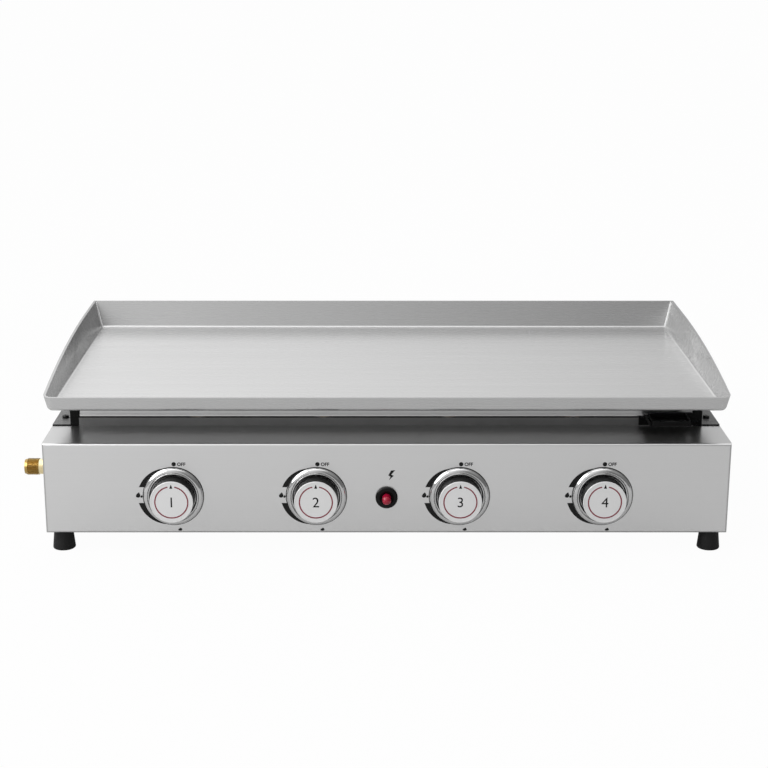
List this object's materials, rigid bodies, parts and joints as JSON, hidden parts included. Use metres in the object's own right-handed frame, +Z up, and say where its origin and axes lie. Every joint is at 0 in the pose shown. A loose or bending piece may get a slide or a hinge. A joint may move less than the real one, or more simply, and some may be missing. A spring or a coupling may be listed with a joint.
{
  "type": "gas griddle",
  "caption": "Table-top gas griddle: folded stainless plate with leaning walls on black rails over a casing with push-and-turn gas knobs, igniter button, grease tray and side gas inlet.",
  "frame": {"origin": "middle of the outer box, on the ground under the feet", "axes": "+X across the front to the right as seen by the user, +Y from the front to the back, +Z up"},
  "size_m": [0.8292, 0.4334, 0.2112],
  "materials": {
    "brushed_stainless": "brushed along the width",
    "plate_stainless": "fine satin",
    "plain_steel": "mill finish",
    "burner_steel": "satin tube",
    "dark_steel": "dark heat-proof coat",
    "black_enamel": "fine textured black",
    "black_screw": "black oxide",
    "chrome": "polished",
    "brass": "turned",
    "tap_metal": "die cast",
    "stem_steel": "turned",
    "knob_black": "moulded, half gloss",
    "cap_silver": "satin silver",
    "button_red": "gloss red",
    "rubber_black": "matt",
    "ceramic": "glazed",
    "lead_sleeve": "silicone sleeve"
  },
  "bodies": {
    "casing": {"front_panel": "brushed_stainless", "left_side_panel": "brushed_stainless", "right_side_panel": "brushed_stainless", "rear_panel": "brushed_stainless", "base_panel": "plain_steel", "front_baffle": "dark_steel", "rubber_feet": "rubber_black", "foot_screws": "black_screw", "left_support_rail": "black_enamel", "right_support_rail": "black_enamel", "rail_screws": "black_screw", "manifold": "plain_steel", "manifold_clips": "plain_steel", "inlet_fitting": "brass", "inlet_nut": "brass", "gas_jets": "brass", "knob_bezels": "chrome", "burner_bracket": "plain_steel", "carry_over_channel": "plain_steel", "igniter_body": "knob_black", "igniter_nut": "knob_black", "igniter_spring": "stem_steel", "electrode": "ceramic", "ignition_lead": "lead_sleeve", "tray_shelf": "black_enamel", "tap_body_1": "tap_metal", "tap_body_2": "tap_metal", "tap_body_3": "tap_metal", "tap_body_4": "tap_metal", "burner_1": "burner_steel", "burner_2": "burner_steel", "burner_3": "burner_steel", "burner_4": "burner_steel"},
    "plate": {"griddle_plate": "plate_stainless", "front_stiffener": "brushed_stainless", "rear_stiffener": "brushed_stainless", "locating_pegs": "plate_stainless"},
    "tray": {"grease_tray": "black_enamel"},
    "button": {"igniter_button": "button_red"},
    "rotor_1": {"tap_rotor_1": "brass", "tap_spring_1": "stem_steel"},
    "control_1": {"tap_stem_1": "stem_steel", "knob_1": "knob_black", "knob_cap_1": "cap_silver"},
    "rotor_2": {"tap_rotor_2": "brass", "tap_spring_2": "stem_steel"},
    "control_2": {"tap_stem_2": "stem_steel", "knob_2": "knob_black", "knob_cap_2": "cap_silver"},
    "rotor_3": {"tap_rotor_3": "brass", "tap_spring_3": "stem_steel"},
    "control_3": {"tap_stem_3": "stem_steel", "knob_3": "knob_black", "knob_cap_3": "cap_silver"},
    "rotor_4": {"tap_rotor_4": "brass", "tap_spring_4": "stem_steel"},
    "control_4": {"tap_stem_4": "stem_steel", "knob_4": "knob_black", "knob_cap_4": "cap_silver"}
  },
  "joints": [
    {"name": "knob_1_turn", "type": "hinge", "parent": "casing", "child": "rotor_1", "pos_m": [-0.23533, -0.19473, 0.071], "axis": [0, -1, 0], "range_deg": [0, 180]},
    {"name": "knob_1_push", "type": "slide", "parent": "rotor_1", "child": "control_1", "axis": [0, 1, 0], "range_m": [0, 0.0035], "stiffness_N_per_m": 1500, "springref_m": -0.002, "deforming": ["tap_spring_1"]},
    {"name": "knob_2_turn", "type": "hinge", "parent": "casing", "child": "rotor_2", "pos_m": [-0.06833, -0.19473, 0.071], "axis": [0, -1, 0], "range_deg": [0, 180]},
    {"name": "knob_2_push", "type": "slide", "parent": "rotor_2", "child": "control_2", "axis": [0, 1, 0], "range_m": [0, 0.0035], "stiffness_N_per_m": 1500, "springref_m": -0.002, "deforming": ["tap_spring_2"]},
    {"name": "knob_3_turn", "type": "hinge", "parent": "casing", "child": "rotor_3", "pos_m": [0.09867, -0.19473, 0.071], "axis": [0, -1, 0], "range_deg": [0, 180]},
    {"name": "knob_3_push", "type": "slide", "parent": "rotor_3", "child": "control_3", "axis": [0, 1, 0], "range_m": [0, 0.0035], "stiffness_N_per_m": 1500, "springref_m": -0.002, "deforming": ["tap_spring_3"]},
    {"name": "knob_4_turn", "type": "hinge", "parent": "casing", "child": "rotor_4", "pos_m": [0.26567, -0.19473, 0.071], "axis": [0, -1, 0], "range_deg": [0, 180]},
    {"name": "knob_4_push", "type": "slide", "parent": "rotor_4", "child": "control_4", "axis": [0, 1, 0], "range_m": [0, 0.0035], "stiffness_N_per_m": 1500, "springref_m": -0.002, "deforming": ["tap_spring_4"]},
    {"name": "igniter_push", "type": "slide", "parent": "casing", "child": "button", "axis": [0, 1, 0], "range_m": [0, 0.006], "stiffness_N_per_m": 1500, "springref_m": -0.002, "deforming": ["igniter_spring"]},
    {"name": "plate_lift", "type": "slide", "parent": "casing", "child": "plate", "axis": [0, 0, 1], "range_m": [0, 0.15]},
    {"name": "tray_slide", "type": "slide", "parent": "casing", "child": "tray", "axis": [0, -1, 0], "range_m": [0, 0.026]}
  ]
}
